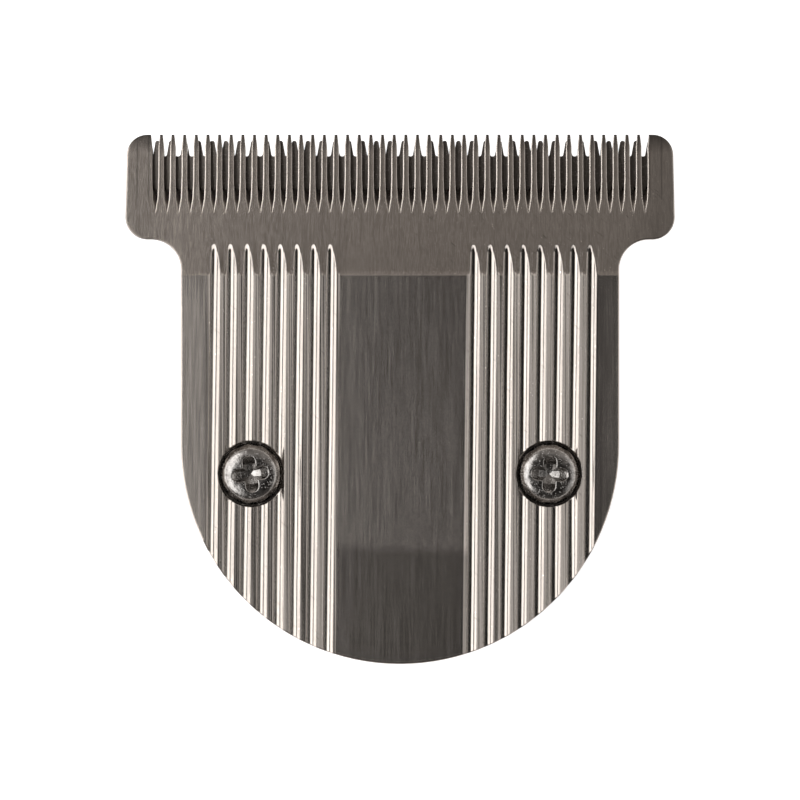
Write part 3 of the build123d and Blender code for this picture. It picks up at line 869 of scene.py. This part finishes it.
screw_vertices = [(0.0, 0.0, -recess_depth - recess_point_slope * recess_point_half)]
for ring in rings:
    for sector, (radius, height) in enumerate(ring):
        turn = math.tau * sector / head_sectors
        screw_vertices.append((radius * math.cos(turn), radius * math.sin(turn), height))
screw_vertices.append((0.0, 0.0, shank_end))
screw_faces = []
for sector in range(head_sectors):
    following = (sector + 1) % head_sectors
    screw_faces.append((0, 1 + sector, 1 + following))
    for ring in range(len(rings) - 1):
        inner, outer = 1 + ring * head_sectors, 1 + (ring + 1) * head_sectors
        screw_faces.append((inner + sector, outer + sector, outer + following, inner + following))
    last = 1 + (len(rings) - 1) * head_sectors
    screw_faces.append((last + following, last + sector, len(screw_vertices) - 1))

screw_finish, screw_shader = start_finish("screw_dark_nickel", metallic=1.0, roughness=0.2)
nodes = screw_finish.node_tree
plating = grain_to(nodes, grain(nodes, plating_size, detail=3.0), 0.0, plating_tone)
nicks = rising(nodes, grain(nodes, nick_size, detail=1.0), *nick_cut)
nicked_plating = calc(nodes, "MAXIMUM", plating, nicks)
feed(nodes, screw_shader, {
    "Base Color": two_tone(nodes, nicked_plating, nickel_dark, nickel_light),
    "Roughness": pick(nodes, nicked_plating, *nickel_roughness),
})
relief(nodes, screw_shader, nicked_plating, plating_depth, plating_strength)

screw_tree, screw_in, screw_out = new_tree("screw_pair", {
    "Middle": "NodeSocketVector", "Half Spacing": "NodeSocketFloat",
    "Turn": "NodeSocketFloat", "Turn Between": "NodeSocketFloat",
})
half_step = put(screw_tree, "ShaderNodeCombineXYZ", {"X": screw_in["Half Spacing"]})
whole_step = added(screw_tree, half_step, half_step)
first_place = put(
    screw_tree, "ShaderNodeVectorMath", {0: screw_in["Middle"], 1: half_step}, operation="SUBTRACT",
)
places = put(screw_tree, "GeometryNodeMeshLine", {
    "Count": 2, "Start Location": first_place, "Offset": whole_step,
})
added_turn = times(screw_tree, put(screw_tree, "GeometryNodeInputIndex"), screw_in["Turn Between"])
screw_angle = plus(screw_tree, added_turn, screw_in["Turn"])
screw_rotation = put(screw_tree, "ShaderNodeCombineXYZ", {"Z": screw_angle})
placed = put(screw_tree, "GeometryNodeInstanceOnPoints", {
    "Points": places, "Instance": screw_in["Geometry"], "Rotation": screw_rotation,
})
end_tree(screw_tree, screw_out, placed, screw_finish)

screws = new_piece("seat_screw_pair", screw_vertices, [], screw_faces)
run_tree(screws, screw_tree, {
    "Middle": (0.0, screw_y, screws_high.z), "Half Spacing": screw_x,
    "Turn": screw_turn, "Turn Between": turn_between,
})
smooth(screws.data, screw_sharp_angle)
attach(screws, "head")
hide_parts("seat_screws")

# Studio: a white table under the blade, a soft box and two lit walls to the left and right, and a dim room.
# The camera looks straight down at the grooved face with a long lens, teeth up in the picture.
table_half = 2.5
table_gap = 0.02 * mm
table_white = (0.86, 0.86, 0.86, 1)
table_glow = 0.8
lamp_distance = 0.22
lamp_length = 0.22
lamps = {
    "left_soft_box": {"tilt": -29, "power": 0.2, "width": 0.102},
    "left_wall": {"tilt": -70, "power": 0.227, "width": 0.143},
    "right_wall": {"tilt": 57, "power": 0.125, "width": 0.224},
}
room_colour = (1.0, 0.93, 0.875, 1)
room_side, room_top, room_top_z = 0.12, 0.02, (0.75, 0.96)
room_far, room_far_y = 0.28, (0.06, 0.25)
room_low, room_low_z = 0.5, (0.25, 0.5)
picture_width = 58.18 * mm
lens_distance = 0.25
lens_middle_y = -0.08 * mm
lens_near = 0.01
sensor_width = 36.0

table_sides = ((-1, -1), (1, -1), (1, 1), (-1, 1))
table_corners = [(table_half * x, table_half * y, 0) for x, y in table_sides]
table = new_piece("studio_table", table_corners, [], [(0, 1, 2, 3)])
table.location.z = cad_box[0].z - table_gap
table_finish, table_shader = start_finish("table_white", metallic=0.0, roughness=0.9)
table_shader.inputs["Base Color"].default_value = table_white
table_shader.inputs["Specular IOR Level"].default_value = 0.0
table_shader.inputs["Emission Color"].default_value = (1, 1, 1, 1)
nodes = table_finish.node_tree
path = nodes.nodes.new("ShaderNodeLightPath").outputs
seen = calc(
    nodes, "MAXIMUM", path["Is Camera Ray"], path["Is Glossy Ray"], path["Is Transmission Ray"],
)
feed(nodes, table_shader, {"Emission Strength": times(nodes, seen, table_glow)})
coat(table.data, table_finish)

for name, lamp_sizes in lamps.items():
    lamp = bpy.data.lights.new(name, "AREA")
    lamp.shape = "RECTANGLE"
    lamp.size = lamp_sizes["width"]
    lamp.size_y = lamp_length
    lamp.energy = lamp_sizes["power"]
    tilt = math.radians(lamp_sizes["tilt"])
    box = show(name, lamp)
    box.location = (lamp_distance * math.sin(tilt), 0.0, lamp_distance * math.cos(tilt))
    box.rotation_euler = (0.0, tilt, 0.0)

world = bpy.data.worlds.new("studio_room")
bpy.context.scene.world = world
world.use_nodes = True
nodes = world.node_tree
way_y, way_z = axes(nodes, nodes.nodes.new("ShaderNodeTexCoord").outputs["Generated"])[1:]
room_level = plus(
    nodes,
    between(nodes, way_z, *room_top_z, room_side, room_top),
    between(nodes, way_y, *room_far_y, 0.0, room_far),
    between(nodes, way_z, *room_low_z, room_low, 0.0),
)
room = nodes.nodes["Background"]
room.inputs["Color"].default_value = room_colour
feed(nodes, room, {"Strength": room_level})

lens = bpy.data.cameras.new("studio_camera")
lens.sensor_width = sensor_width
lens.lens = sensor_width * lens_distance / picture_width
lens.clip_start = lens_near
camera = show("studio_camera", lens)
camera.location = (0.0, lens_middle_y, comb_high.z + lens_distance)
bpy.context.scene.camera = camera
bpy.context.scene.view_settings.view_transform = "Standard"
